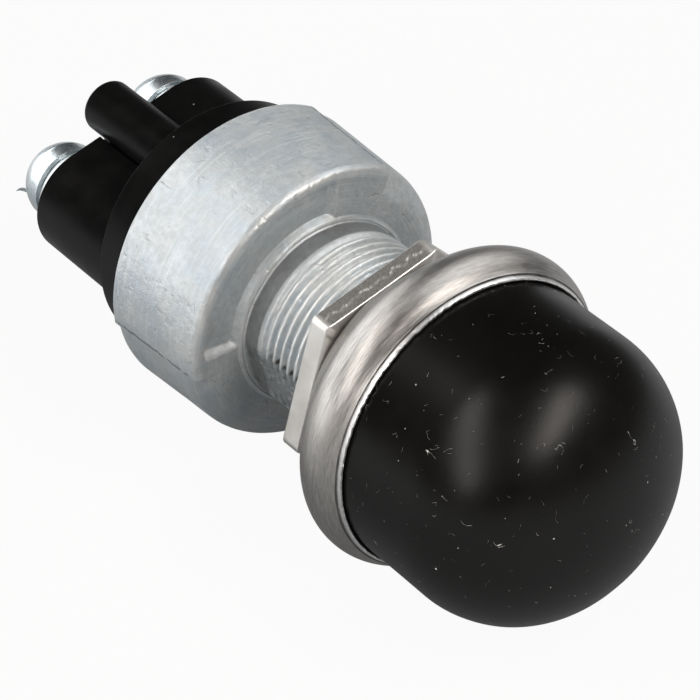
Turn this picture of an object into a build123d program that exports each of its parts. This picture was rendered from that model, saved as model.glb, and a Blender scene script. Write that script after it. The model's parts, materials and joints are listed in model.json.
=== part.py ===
"""Panel push button with a sealed rubber dome: two screw terminals, one normally open contact bridge.

Frame: +Z runs along the axis towards the dome, +X through the two terminal screws.
The origin is on the axis, in the plane of the housing's front shoulder, where a panel sits.
"""

from build123d import *
from math import atan2, cos, pi, radians, sin, sqrt
import os

os.makedirs("parts", exist_ok=True)

# Driving dimensions, in millimetres and degrees
RUN_FIT = 0.05          # radial clearance of running and threaded fits
SEAT_GAP = 0.05         # clearance between faces that rest on each other

# Housing casting
SHOULDER_R = 14.0       # outer radius at the front shoulder
SKIRT_R = 14.35         # outer radius at the rear rim, larger by the casting draft
SKIRT_LEN = 12.1
SHOULDER_ROUND = 2.6
SADDLE_R = 14.3         # the wider part the other half of the die forms: shoulder radius
SADDLE_SKIRT_R = 14.75
SADDLE_ROUND = 0.9
SADDLE_TURN = 42.0      # where that part starts, from +X
SADDLE_SPAN = 132.0
SADDLE_FOOT_R = 11.2
POCKET_TURN = 116.5     # middle of the shallow face pocket, from +X
POCKET_SPAN = 94.0
POCKET_DEPTH = 0.6
POCKET_R = (9.4, 13.2)
WALL_FRONT = 2.0
CAVITY_R = 10.4
RIM_BORE_R = 12.8
RIM_STEP_Z = -9.0
BEAD_Z = -11.2          # rolled bead that holds the terminal base in

# Threaded neck, M18 x 1
THREAD_R = 9.0
THREAD_PITCH = 1.0
THREAD_DEPTH = 0.5
PLAIN_LEN = 2.2
NECK_LEN = 14.2
NECK_BORE_R = 5.5
NECK_FLAT_HALF_ANGLE = 19.0

# Plunger and contact bridge
CONTACT_TRAVEL = 2.1
GUIDE_R = 8.2
GUIDE_T = 1.5
SPIGOT_R = 2.0
SPIGOT_END_Z = -8.9
STEM_TOP_Z = 24.0
BUTTON_R = 8.0
BUTTON_BOTTOM_Z = 18.2
BUTTON_EDGE_Z = 32.4
BUTTON_TOP_Z = 34.0
BRIDGE_R = 8.6
BRIDGE_T = 1.0
BRIDGE_TOP_Z = -7.2
INSULATOR_T = 0.6
SEAT_R = 4.2
SEAT_T = 0.8
PILOT_R = 1.0

# Springs
RETURN_WIRE = 0.7
RETURN_R = 3.3
RETURN_TURNS = 3.5
CONTACT_WIRE = 0.6
CONTACT_R = 3.9
CONTACT_TURNS = 2.0

# Terminal base moulding
BASE_R = 12.75
BASE_TOP_Z = -9.6
FLANGE_REAR_Z = -17.2
CHAMBER_R = 9.6
CHAMBER_FLOOR_Z = -11.6
POCKET_FLOOR_Z = -16.3
SPRING_POCKET_R = 4.35
TERMINAL_X = 6.1
PILLAR_R = 5.53
PILLAR_REAR_Z = -29.7
PILLAR_INNER_X = 2.63   # the flat side each pillar turns to the other
POST_R = 2.63
POST_Y = 6.35
POST_REAR_Z = -31.9
WEB_HALF_T = 2.4
WEB_REAR_Z = -28.0

# Fixed contacts and terminal hardware, M4 x 0.7
CONTACT_HEAD_R = 1.7
CONTACT_STEM_R = 1.5
INSERT_R = 2.7
INSERT_TOP_Z = -17.4
SCREW_R = 2.0
SCREW_DEPTH_Z = -21.0
CLAMP_R = 4.5
CLAMP_T = 1.2
LOCK_R = 3.4
LOCK_T = 1.0
HEAD_R = 3.9
HEAD_RIM_T = 1.3
HEAD_DOME_H = 3.1
SLOT_W = 1.1
SLOT_DEPTH = 1.5

# Boot nut: hexagon, shell, clamp ring and rubber boot
HEX_AF = 21.6
HEX_REAR_Z = 9.8
HEX_T = 2.1
SWIVEL_R = 9.95
COLLAR_R = 10.4
SHELL_T = 0.9
SHELL_REAR_Z = 11.95
SHELL_CONE_FOOT_R = 10.75
SHELL_CONE_R = 14.7
SHELL_FRONT = (15.1, 19.9)
LIP_Z = 21.2
LIP_R = 14.05
BOOT_R = 13.95
BOOT_T = 1.4
BEAD_R = 14.2
BEAD_REAR_Z = 17.0
BEAD_FRONT_Z = 19.0
DOME_SIDE_Z = 28.9      # where the straight side ends
DOME_CORNER_R = 10.4
DOME_CROWN_R = 16.8
DOME_CROWN_Z = 23.6     # centre of the crown's sphere

PROFILE = Plane.XZ      # half sections: local x is the radius, local y is the height


def write(piece, name):
    """Names a finished piece and writes it."""
    piece.part.label = name
    export_step(piece.part, f"parts/{name}.step")


def washer(name, outer_r, bore_r, low_z, high_z, centre=(0, 0), edge=0.0):
    """A flat round washer between two heights."""
    with BuildPart() as ring:
        with BuildSketch(Plane.XY.offset(low_z)):
            with Locations(centre):
                Circle(outer_r)
                Circle(bore_r, mode=Mode.SUBTRACT)
        extrude(amount=high_z - low_z)
        if edge:
            rims = ring.edges().filter_by(GeomType.CIRCLE).group_by(SortBy.RADIUS)[-1]
            chamfer(rims, edge)
    write(ring, name)


def coil(name, mean_r, wire, low_z, high_z, turns):
    """An open coil spring whose wire lies between two heights."""
    height = high_z - low_z - wire
    with BuildPart() as spring:
        with BuildLine(Plane.XY.offset(low_z + wire / 2)):
            path = Helix(pitch=height / turns, height=height, radius=mean_r)
        with BuildSketch(Plane(origin=path @ 0, z_dir=path % 0)):
            Circle(wire / 2)
        sweep(path=path, is_frenet=True)
    write(spring, name)


# Housing: a zinc casting with a closed front wall, a threaded neck and an open rear rim
with BuildPart() as housing:
    with BuildSketch(PROFILE):
        with BuildLine():
            Polyline(
                (NECK_BORE_R, NECK_LEN),
                (NECK_BORE_R, -WALL_FRONT),
                (CAVITY_R, -WALL_FRONT),
                (CAVITY_R, RIM_STEP_Z),
                (RIM_BORE_R, RIM_STEP_Z),
                (RIM_BORE_R, BEAD_Z + 0.35),
            )
            ThreePointArc(
                (RIM_BORE_R, BEAD_Z + 0.35),
                (RIM_BORE_R - 0.3, BEAD_Z),
                (RIM_BORE_R, BEAD_Z - 0.35),
            )
            Polyline(
                (RIM_BORE_R, BEAD_Z - 0.35),
                (RIM_BORE_R, -SKIRT_LEN),
                (SKIRT_R, -SKIRT_LEN),
                (SHOULDER_R, -SHOULDER_ROUND),
            )
            RadiusArc(
                (SHOULDER_R, -SHOULDER_ROUND),
                (SHOULDER_R - SHOULDER_ROUND, 0),
                -SHOULDER_ROUND,
            )
            Polyline((SHOULDER_R - SHOULDER_ROUND, 0), (THREAD_R, 0), (THREAD_R, PLAIN_LEN))
            turns = int((NECK_LEN - PLAIN_LEN) / THREAD_PITCH)
            root_r = THREAD_R - THREAD_DEPTH
            for turn in range(turns):
                z = PLAIN_LEN + turn * THREAD_PITCH
                Polyline(
                    (THREAD_R, z),
                    (root_r, z + 0.4 * THREAD_PITCH),
                    (root_r, z + 0.5 * THREAD_PITCH),
                    (THREAD_R, z + 0.9 * THREAD_PITCH),
                    (THREAD_R, z + THREAD_PITCH),
                )
            Line((THREAD_R, NECK_LEN), (NECK_BORE_R, NECK_LEN))
        make_face()
    revolve(axis=Axis.Z)
    # the saddle: a wider, sharper shoulder and skirt over part of the turn
    with BuildSketch(PROFILE.rotated((0, 0, SADDLE_TURN))):
        with BuildLine():
            Polyline(
                (SADDLE_R - SADDLE_ROUND, 0),
                (SADDLE_FOOT_R, 0),
                (SADDLE_FOOT_R, -WALL_FRONT - 1),
                (RIM_BORE_R + 0.4, RIM_STEP_Z + 1),
                (RIM_BORE_R + 0.4, -SKIRT_LEN),
                (SADDLE_SKIRT_R, -SKIRT_LEN),
                (SADDLE_R, -SADDLE_ROUND),
            )
            RadiusArc((SADDLE_R, -SADDLE_ROUND), (SADDLE_R - SADDLE_ROUND, 0), -SADDLE_ROUND)
        make_face()
    revolve(axis=Axis.Z, revolution_arc=SADDLE_SPAN)
    # shallow pocket in the saddle's front face
    with BuildSketch(Plane.XY.rotated((0, 0, POCKET_TURN))):
        Circle(POCKET_R[1])
        Circle(POCKET_R[0], mode=Mode.SUBTRACT)
        with BuildLine():
            reach = 2 * SHOULDER_R
            half = radians(POCKET_SPAN / 2)
            Polyline(
                (0, 0),
                (reach * cos(half), reach * sin(half)),
                (reach * cos(half), -reach * sin(half)),
                close=True,
            )
        make_face(mode=Mode.INTERSECT)
    extrude(amount=-POCKET_DEPTH, mode=Mode.SUBTRACT)
    # flats on the neck where the thread stops at the parting line
    flat_x = THREAD_R * cos(radians(NECK_FLAT_HALF_ANGLE))
    for way in (-1, 1):
        with BuildSketch(Plane.XY):
            with Locations((way * (flat_x + 1), 0)):
                Rectangle(2, 2 * THREAD_R)
        extrude(amount=NECK_LEN, mode=Mode.SUBTRACT)
write(housing, "housing")

# Terminal base: a phenolic moulding with a pillar round each terminal, two posts and a web
with BuildPart() as terminal_base:
    with BuildSketch(PROFILE):
        with BuildLine():
            Polyline(
                (0, POCKET_FLOOR_Z),
                (SPRING_POCKET_R, POCKET_FLOOR_Z),
                (SPRING_POCKET_R, CHAMBER_FLOOR_Z),
                (CHAMBER_R, CHAMBER_FLOOR_Z),
                (CHAMBER_R, BASE_TOP_Z),
                (BASE_R, BASE_TOP_Z),
                (BASE_R, BEAD_Z + 0.5),
            )
            ThreePointArc(
                (BASE_R, BEAD_Z + 0.5), (BASE_R - 0.45, BEAD_Z), (BASE_R, BEAD_Z - 0.5)
            )
            Polyline(
                (BASE_R, BEAD_Z - 0.5),
                (BASE_R, FLANGE_REAR_Z + 0.3),
                (BASE_R - 0.3, FLANGE_REAR_Z),
                (0, FLANGE_REAR_Z),
                (0, POCKET_FLOOR_Z),
            )
        make_face()
    revolve(axis=Axis.Z)
    with BuildSketch(Plane.XY.offset(FLANGE_REAR_Z)):
        for way in (-1, 1):
            with Locations((way * TERMINAL_X, 0)):
                Circle(PILLAR_R)
            with Locations((way * (TERMINAL_X + PILLAR_INNER_X) / 2, 0)):
                Rectangle(TERMINAL_X - PILLAR_INNER_X, 2 * PILLAR_R)
    extrude(amount=PILLAR_REAR_Z - FLANGE_REAR_Z)
    pillar_rims = terminal_base.faces().sort_by(Axis.Z)[:2].edges()
    chamfer(pillar_rims, 0.25)
    with BuildSketch(Plane.XY.offset(FLANGE_REAR_Z)):
        with Locations((0, -POST_Y), (0, POST_Y)):
            Circle(POST_R)
    extrude(amount=POST_REAR_Z - FLANGE_REAR_Z)
    fillet(terminal_base.faces().sort_by(Axis.Z)[:2].edges(), 0.6)
    with BuildSketch(Plane.XY.offset(FLANGE_REAR_Z)):
        Rectangle(2 * WEB_HALF_T, 2 * POST_Y)
    extrude(amount=WEB_REAR_Z - FLANGE_REAR_Z)
    # a narrow bore for each contact's stem, opening into a wide one for its insert
    for bore_r, top_z in (
        (CONTACT_STEM_R + SEAT_GAP, CHAMBER_FLOOR_Z),
        (INSERT_R + SEAT_GAP, INSERT_TOP_Z + SEAT_GAP),
    ):
        with BuildSketch(Plane.XY.offset(top_z)):
            with Locations((-TERMINAL_X, 0), (TERMINAL_X, 0)):
                Circle(bore_r)
        extrude(amount=PILLAR_REAR_Z - top_z, mode=Mode.SUBTRACT)
write(terminal_base, "terminal_base")

washer(
    "base_gasket",
    BASE_R,
    CAVITY_R + 0.2,
    BASE_TOP_Z + SEAT_GAP,
    RIM_STEP_Z - SEAT_GAP,
)

# Hardware at each terminal: contact, clamp washer, lock washer and screw
head_z = CHAMBER_FLOOR_Z + SEAT_GAP
contact_top_z = BRIDGE_TOP_Z - BRIDGE_T - CONTACT_TRAVEL - SEAT_GAP
clamp_z = PILLAR_REAR_Z - SEAT_GAP - CLAMP_T
lock_z = clamp_z - SEAT_GAP - LOCK_T
screw_seat_z = lock_z - SEAT_GAP
for side, x in (("left", -TERMINAL_X), ("right", TERMINAL_X)):
    with BuildPart() as fixed_contact:
        with BuildSketch(PROFILE):
            with BuildLine():
                Polyline(
                    (0, contact_top_z),
                    (CONTACT_HEAD_R - 0.5, contact_top_z),
                    (CONTACT_HEAD_R, contact_top_z - 0.4),
                    (CONTACT_HEAD_R, head_z),
                    (CONTACT_STEM_R, head_z),
                    (CONTACT_STEM_R, INSERT_TOP_Z),
                    (INSERT_R, INSERT_TOP_Z),
                    (INSERT_R, PILLAR_REAR_Z),
                    (SCREW_R + RUN_FIT, PILLAR_REAR_Z),
                    (SCREW_R + RUN_FIT, SCREW_DEPTH_Z + 1.0),
                    (0, SCREW_DEPTH_Z + 2.2),
                    close=True,
                )
            make_face()
        revolve(axis=Axis.Z)
    fixed_contact.part = Pos(x, 0, 0) * fixed_contact.part
    write(fixed_contact, f"fixed_contact_{side}")

    washer(
        f"clamp_washer_{side}",
        CLAMP_R,
        SCREW_R + 0.15,
        clamp_z,
        clamp_z + CLAMP_T,
        centre=(x, 0),
        edge=0.2,
    )

    # split lock washer: the cut slants like the real spring washer's
    with BuildPart() as lock_washer:
        with BuildSketch(Plane.XY.offset(lock_z)):
            with Locations((x, 0)):
                Circle(LOCK_R)
                Circle(SCREW_R + 0.15, mode=Mode.SUBTRACT)
        extrude(amount=LOCK_T)
        with BuildSketch(Plane.XZ):
            with Locations((x, lock_z + LOCK_T / 2)):
                Rectangle(0.5, 2 * LOCK_T, rotation=30)
        extrude(amount=2 * LOCK_R, mode=Mode.SUBTRACT)
    write(lock_washer, f"lock_washer_{side}")

    # round-head screw with a straight slot
    with BuildPart() as terminal_screw:
        with BuildSketch(PROFILE):
            rim_z = screw_seat_z - HEAD_RIM_T
            top_z = rim_z - HEAD_DOME_H
            dome_r = (HEAD_R**2 + HEAD_DOME_H**2) / (2 * HEAD_DOME_H)
            with BuildLine():
                Polyline(
                    (0, top_z),
                    (0, SCREW_DEPTH_Z),
                    (SCREW_R - 0.5, SCREW_DEPTH_Z),
                    (SCREW_R, SCREW_DEPTH_Z - 0.6),
                    (SCREW_R, screw_seat_z),
                    (HEAD_R, screw_seat_z),
                    (HEAD_R, rim_z),
                )
                RadiusArc((HEAD_R, rim_z), (0, top_z), dome_r)
            make_face()
        revolve(axis=Axis.Z)
        with BuildSketch(Plane.XY.offset(top_z)):
            Rectangle(2 * HEAD_R + 1, SLOT_W, rotation=35)
        extrude(amount=SLOT_DEPTH, mode=Mode.SUBTRACT)
    terminal_screw.part = Pos(x, 0, 0) * terminal_screw.part
    write(terminal_screw, f"terminal_screw_{side}")

# Plunger: stem with its guide flange and spigot, and the push button on its front end
guide_top_z = -WALL_FRONT - 2 * SEAT_GAP
guide_bottom_z = guide_top_z - GUIDE_T
stem_r = NECK_BORE_R - RUN_FIT
with BuildPart() as plunger_stem:
    with BuildSketch(PROFILE):
        with BuildLine():
            Polyline(
                (0, STEM_TOP_Z),
                (stem_r - 0.6, STEM_TOP_Z),
                (stem_r, STEM_TOP_Z - 0.6),
                (stem_r, guide_top_z),
                (GUIDE_R, guide_top_z),
                (GUIDE_R, guide_bottom_z),
                (SPIGOT_R, guide_bottom_z),
                (SPIGOT_R, SPIGOT_END_Z),
                (PILOT_R + RUN_FIT, SPIGOT_END_Z),
                (PILOT_R + RUN_FIT, guide_bottom_z - 0.6),
                (0, guide_bottom_z),
                close=True,
            )
        make_face()
    revolve(axis=Axis.Z)
write(plunger_stem, "plunger_stem")

with BuildPart() as push_button:
    with BuildSketch(PROFILE):
        with BuildLine():
            Polyline(
                (0, STEM_TOP_Z + SEAT_GAP),
                (stem_r + SEAT_GAP, STEM_TOP_Z + SEAT_GAP),
                (stem_r + SEAT_GAP, BUTTON_BOTTOM_Z),
                (BUTTON_R - 0.4, BUTTON_BOTTOM_Z),
                (BUTTON_R, BUTTON_BOTTOM_Z + 0.4),
                (BUTTON_R, BUTTON_EDGE_Z - 1.0),
            )
            RadiusArc((BUTTON_R, BUTTON_EDGE_Z - 1.0), (BUTTON_R - 1.2, BUTTON_EDGE_Z + 0.4), -1.4)
            crown = BUTTON_TOP_Z - BUTTON_EDGE_Z - 0.4
            edge_r = BUTTON_R - 1.2
            RadiusArc(
                (edge_r, BUTTON_EDGE_Z + 0.4),
                (0, BUTTON_TOP_Z),
                -(edge_r**2 + crown**2) / (2 * crown),
            )
            Line((0, BUTTON_TOP_Z), (0, STEM_TOP_Z + SEAT_GAP))
        make_face()
    revolve(axis=Axis.Z)
write(push_button, "push_button")

# Contact bridge stack on the spigot, kept by a seat and a self-tapping screw
upper_z = BRIDGE_TOP_Z + SEAT_GAP
washer("upper_insulator", 5.0, SPIGOT_R + 0.1, upper_z, upper_z + INSULATOR_T)

bridge_bottom_z = BRIDGE_TOP_Z - BRIDGE_T
bush_r = SPIGOT_R + 0.7
washer("contact_bridge", BRIDGE_R, bush_r + 0.1, bridge_bottom_z, BRIDGE_TOP_Z, edge=0.2)

flange_top_z = bridge_bottom_z - SEAT_GAP
with BuildPart() as lower_insulator:
    with BuildSketch(PROFILE):
        with BuildLine():
            Polyline(
                (SPIGOT_R + 0.1, BRIDGE_TOP_Z),
                (bush_r, BRIDGE_TOP_Z),
                (bush_r, flange_top_z),
                (SEAT_R, flange_top_z),
                (SEAT_R, flange_top_z - INSULATOR_T),
                (SPIGOT_R + 0.1, flange_top_z - INSULATOR_T),
                close=True,
            )
        make_face()
    revolve(axis=Axis.Z)
write(lower_insulator, "lower_insulator")

seat_top_z = SPIGOT_END_Z - SEAT_GAP
seat_bottom_z = seat_top_z - SEAT_T
washer("spring_seat", SEAT_R, PILOT_R + 0.1, seat_bottom_z, seat_top_z)

with BuildPart() as retaining_screw:
    with BuildSketch(PROFILE):
        head_top_z = seat_bottom_z - SEAT_GAP
        with BuildLine():
            Polyline(
                (0, head_top_z - 1.4),
                (0, guide_bottom_z - 1.0),
                (PILOT_R, guide_bottom_z - 1.6),
                (PILOT_R, head_top_z),
                (2.2, head_top_z),
                (2.2, head_top_z - 0.4),
            )
            RadiusArc((2.2, head_top_z - 0.4), (0, head_top_z - 1.4), 2.92)
        make_face()
    revolve(axis=Axis.Z)
    with BuildSketch(Plane.XY.offset(head_top_z - 1.4)):
        Rectangle(3.0, 0.6)
        Rectangle(0.6, 3.0)
    extrude(amount=0.7, mode=Mode.SUBTRACT)
write(retaining_screw, "retaining_screw")

coil(
    "return_spring",
    RETURN_R,
    RETURN_WIRE,
    POCKET_FLOOR_Z + SEAT_GAP,
    seat_bottom_z - SEAT_GAP,
    RETURN_TURNS,
)
coil(
    "contact_spring",
    CONTACT_R,
    CONTACT_WIRE,
    upper_z + INSULATOR_T + SEAT_GAP,
    guide_bottom_z - SEAT_GAP,
    CONTACT_TURNS,
)

# Boot nut: a hexagon whose collar is spun over inside the shell, so that it swivels there
with BuildPart() as hex_nut:
    with BuildSketch(Plane.XY.offset(HEX_REAR_Z)):
        RegularPolygon(HEX_AF / 2, 6, major_radius=False, rotation=0)
    extrude(amount=HEX_T)
    with BuildSketch(PROFILE):
        with BuildLine():
            Polyline(
                (0, HEX_REAR_Z + HEX_T),
                (SWIVEL_R, HEX_REAR_Z + HEX_T),
                (SWIVEL_R, SHELL_REAR_Z + SHELL_T + 0.2),
                (COLLAR_R, SHELL_REAR_Z + SHELL_T + 0.2),
                (COLLAR_R, SHELL_REAR_Z + SHELL_T + 0.8),
                (0, SHELL_REAR_Z + SHELL_T + 0.8),
                close=True,
            )
        make_face()
    revolve(axis=Axis.Z)
    with BuildSketch(Plane.XY.offset(HEX_REAR_Z)):
        Circle(THREAD_R + RUN_FIT)
    extrude(amount=2 * HEX_T, mode=Mode.SUBTRACT)
write(hex_nut, "hex_nut")

# Shell: rear wall, 45 degree cone, rounded band and a thin lip rolled in over the boot
cone_z = SHELL_REAR_Z + SHELL_CONE_R - SHELL_CONE_FOOT_R
slant = SHELL_T * sqrt(0.5)
with BuildPart() as boot_ring:
    with BuildSketch(PROFILE):
        with BuildLine():
            outer = Polyline(
                (SWIVEL_R + 0.1, SHELL_REAR_Z),
                (SHELL_CONE_FOOT_R, SHELL_REAR_Z),
                (SHELL_CONE_R, cone_z),
            )
            band = TangentArc(outer @ 1, SHELL_FRONT, tangent=outer % 1)
            centre = band.arc_center
            inner_scale = 1 - SHELL_T / band.radius
            inner_front = centre + (band @ 1 - centre) * inner_scale
            inner_cone = centre + (band @ 0 - centre) * inner_scale
            inner_foot = SHELL_REAR_Z + SHELL_T
            foot_r = SHELL_CONE_FOOT_R - (sqrt(2) - 1) * SHELL_T
            Polyline(band @ 1, (LIP_R + 0.3, LIP_Z), (LIP_R, LIP_Z), (LIP_R, 20.4), inner_front)
            ThreePointArc(
                inner_front,
                centre + Vector(band.radius - SHELL_T, 0),
                inner_cone,
            )
            Polyline(
                inner_cone,
                (foot_r, inner_foot),
                (SWIVEL_R + 0.1, inner_foot),
                (SWIVEL_R + 0.1, SHELL_REAR_Z),
            )
        make_face()
    revolve(axis=Axis.Z)
write(boot_ring, "boot_ring")

washer("clamp_ring", 13.0, 10.9, 15.7, BEAD_REAR_Z - SEAT_GAP, edge=0.2)

# Rubber boot: a bead held in the shell, a straight side and a dome of two tangent arcs
corner_centre = (BOOT_R - DOME_CORNER_R, DOME_SIDE_Z)
lean = DOME_CROWN_R - DOME_CORNER_R
crown_dir = (corner_centre[0] / lean, (DOME_SIDE_Z - DOME_CROWN_Z) / lean)


def on_corner(depth, angle):
    """A point on the dome's corner arc, depth under the skin, angle up from the radius."""
    reach = DOME_CORNER_R - depth
    x, z = corner_centre
    return (x + reach * cos(angle), z + reach * sin(angle))


def on_crown(depth, angle):
    """A point on the dome's crown, depth under the skin, angle from the axis."""
    reach = DOME_CROWN_R - depth
    return (reach * sin(angle), DOME_CROWN_Z + reach * cos(angle))


with BuildPart() as rubber_boot:
    with BuildSketch(PROFILE):
        crown_angle = atan2(crown_dir[0], crown_dir[1])
        with BuildLine():
            Polyline(
                (BOOT_R - BOOT_T - 0.3, BEAD_REAR_Z),
                (BEAD_R, BEAD_REAR_Z),
                (BEAD_R, BEAD_FRONT_Z),
                (BOOT_R, BEAD_FRONT_Z + 0.3),
                (BOOT_R, DOME_SIDE_Z),
            )
            for depth in (0, BOOT_T):
                corner_top = on_crown(depth, crown_angle)
                corner_mid = on_corner(depth, (pi / 2 - crown_angle) / 2)
                ThreePointArc(on_corner(depth, 0), corner_mid, corner_top)
                ThreePointArc(corner_top, on_crown(depth, crown_angle / 2), on_crown(depth, 0))
            Line(on_crown(0, 0), on_crown(BOOT_T, 0))
            Polyline(
                (BOOT_R - BOOT_T, DOME_SIDE_Z),
                (BOOT_R - BOOT_T, BEAD_FRONT_Z),
                (BOOT_R - BOOT_T - 0.3, BEAD_FRONT_Z - 0.6),
                (BOOT_R - BOOT_T - 0.3, BEAD_REAR_Z),
            )
        make_face()
    revolve(axis=Axis.Z)
write(rubber_boot, "rubber_boot")
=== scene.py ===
"""Shows the sealed panel push button: its finishes, turned and moulded skins, studio and camera."""

import json
from math import cos, hypot, radians, sin, tau

import bmesh
import bpy
from mathutils import Matrix, Vector, noise

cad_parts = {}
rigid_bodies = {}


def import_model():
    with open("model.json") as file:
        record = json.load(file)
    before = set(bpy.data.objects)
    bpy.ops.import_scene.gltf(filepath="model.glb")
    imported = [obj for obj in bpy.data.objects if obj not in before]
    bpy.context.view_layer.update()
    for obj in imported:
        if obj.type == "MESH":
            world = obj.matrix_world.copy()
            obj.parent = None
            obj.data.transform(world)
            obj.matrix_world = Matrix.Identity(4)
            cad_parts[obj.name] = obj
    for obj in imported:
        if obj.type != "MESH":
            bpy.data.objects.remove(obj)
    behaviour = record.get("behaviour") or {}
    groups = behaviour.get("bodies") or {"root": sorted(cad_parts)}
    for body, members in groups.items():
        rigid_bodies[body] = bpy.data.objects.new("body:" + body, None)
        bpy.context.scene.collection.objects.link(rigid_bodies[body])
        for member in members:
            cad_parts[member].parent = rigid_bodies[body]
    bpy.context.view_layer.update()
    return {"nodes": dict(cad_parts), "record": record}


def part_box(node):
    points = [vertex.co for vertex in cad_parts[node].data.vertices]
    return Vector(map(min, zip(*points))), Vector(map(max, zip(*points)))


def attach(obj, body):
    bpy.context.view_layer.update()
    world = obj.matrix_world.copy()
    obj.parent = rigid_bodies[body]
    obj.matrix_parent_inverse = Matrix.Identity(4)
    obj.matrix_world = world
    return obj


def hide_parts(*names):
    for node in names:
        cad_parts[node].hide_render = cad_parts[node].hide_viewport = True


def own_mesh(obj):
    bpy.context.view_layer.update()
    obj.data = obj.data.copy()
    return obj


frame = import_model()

MM = 0.001
scene = bpy.context.scene


# ---------------------------------------------------------------- node helpers
def put(tree, kind, inputs=None, out=0, **settings):
    """Adds a node, feeds its inputs from plain values or sockets, and returns one of its outputs."""
    node = tree.nodes.new(kind)
    for key, value in settings.items():
        setattr(node, key, value)
    for key, value in (inputs or {}).items():
        if isinstance(value, bpy.types.NodeSocket):
            tree.links.new(value, node.inputs[key])
        else:
            node.inputs[key].default_value = value
    return node.outputs[out]


def calc(tree, operation, *terms, clamp=False):
    """One math node."""
    return put(tree, "ShaderNodeMath", dict(enumerate(terms)), operation=operation, use_clamp=clamp)


def ease(tree, value, low, high, to_low=0.0, to_high=1.0):
    """A smooth step from one level to another between two values."""
    ends = {"Value": value, "From Min": low, "From Max": high, "To Min": to_low, "To Max": to_high}
    return put(tree, "ShaderNodeMapRange", ends, interpolation_type="SMOOTHSTEP")


def tint(tree, mask, below, above):
    """A colour between two, by a mask."""
    # the colour inputs are the seventh and eighth, and the colour result the third output
    return put(tree, "ShaderNodeMix", {0: mask, 6: below, 7: above}, out=2, data_type="RGBA")


def grey(level, warm=0.0):
    """An opaque near-grey, warmer or cooler by a small amount."""
    return (level * (1 + warm), level, level * (1 - warm), 1.0)


def group(name, takes, gives):
    """A shader node group with named float inputs and outputs."""
    tree = bpy.data.node_groups.new(name, "ShaderNodeTree")
    for label, value in takes.items():
        socket = tree.interface.new_socket(label, in_out="INPUT", socket_type="NodeSocketFloat")
        socket.default_value = value
    for label in gives:
        tree.interface.new_socket(label, in_out="OUTPUT", socket_type="NodeSocketFloat")
    return tree, tree.nodes.new("NodeGroupInput").outputs, tree.nodes.new("NodeGroupOutput").inputs


def use(tree, shared, gives, **values):
    """Places a shared group in a material with its own values."""
    node = tree.nodes.new("ShaderNodeGroup")
    node.node_tree = shared
    for label, value in values.items():
        socket = node.inputs[label.replace("_", " ").capitalize()]
        if isinstance(value, bpy.types.NodeSocket):
            tree.links.new(value, socket)
        else:
            socket.default_value = value
    return node.outputs[gives]


def place(tree):
    """Where a point is on the piece, in metres."""
    return put(tree, "ShaderNodeTexCoord", out="Object")


def times(tree, *terms):
    """The product of two or more values."""
    product = terms[0]
    for term in terms[1:]:
        product = calc(tree, "MULTIPLY", product, term)
    return product


def from_axis(tree, east, north):
    """The distance from the Z axis."""
    squares = calc(tree, "ADD", times(tree, east, east), times(tree, north, north))
    return calc(tree, "SQRT", squares)


# ---------------------------------------------------------------- shared effects
def make_mottle():
    """Soft patches, from 0 to 1."""
    tree, takes, gives = group("mottle", {"Scale": 400.0, "Detail": 4.0, "Soft": 0.12}, ["Mask"])
    spread = put(
        tree,
        "ShaderNodeTexNoise",
        {"Vector": place(tree), "Scale": takes["Scale"], "Detail": takes["Detail"], "Roughness": 0.6},
    )
    low = calc(tree, "SUBTRACT", 0.5, takes["Soft"])
    high = calc(tree, "ADD", 0.5, takes["Soft"])
    tree.links.new(ease(tree, spread, low, high), gives["Mask"])
    return tree


def make_dust():
    """Loose specks and short curled fibres, as a mask."""
    takes = {"Spacing": 0.0016, "Size": 0.11, "Share": 0.3, "Fibres": 1.0}
    tree, takes, gives = group("dust", takes, ["Mask"])
    spot = place(tree)
    scale = calc(tree, "DIVIDE", 1.0, takes["Spacing"])
    cell = tree.nodes.new("ShaderNodeTexVoronoi")
    tree.links.new(spot, cell.inputs["Vector"])
    tree.links.new(scale, cell.inputs["Scale"])
    lots = put(tree, "ShaderNodeSeparateColor", {0: cell.outputs["Color"]}, out="Red")
    sizes = lots.node.outputs["Green"]
    chosen = calc(tree, "LESS_THAN", lots, takes["Share"])
    reach = times(tree, takes["Size"], calc(tree, "MULTIPLY_ADD", sizes, sizes, 0.25))
    inner = times(tree, reach, 0.6)
    speck = times(tree, chosen, ease(tree, cell.outputs["Distance"], inner, reach, 1.0, 0.0))
    # a fibre follows the middle level of a noise, where a second noise lets it show
    curl = put(tree, "ShaderNodeTexNoise", {"Vector": spot, "Scale": 760.0, "Detail": 1.0})
    off = calc(tree, "ABSOLUTE", calc(tree, "SUBTRACT", curl, 0.5))
    thread = ease(tree, off, 0.0009, 0.0028, 1.0, 0.0)
    patch = put(tree, "ShaderNodeTexNoise", {"Vector": spot, "Scale": 1150.0, "Detail": 0.0})
    here = ease(tree, patch, 0.68, 0.71)
    fibre = times(tree, thread, here, takes["Fibres"])
    tree.links.new(calc(tree, "MAXIMUM", speck, fibre, clamp=True), gives["Mask"])
    return tree


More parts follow.
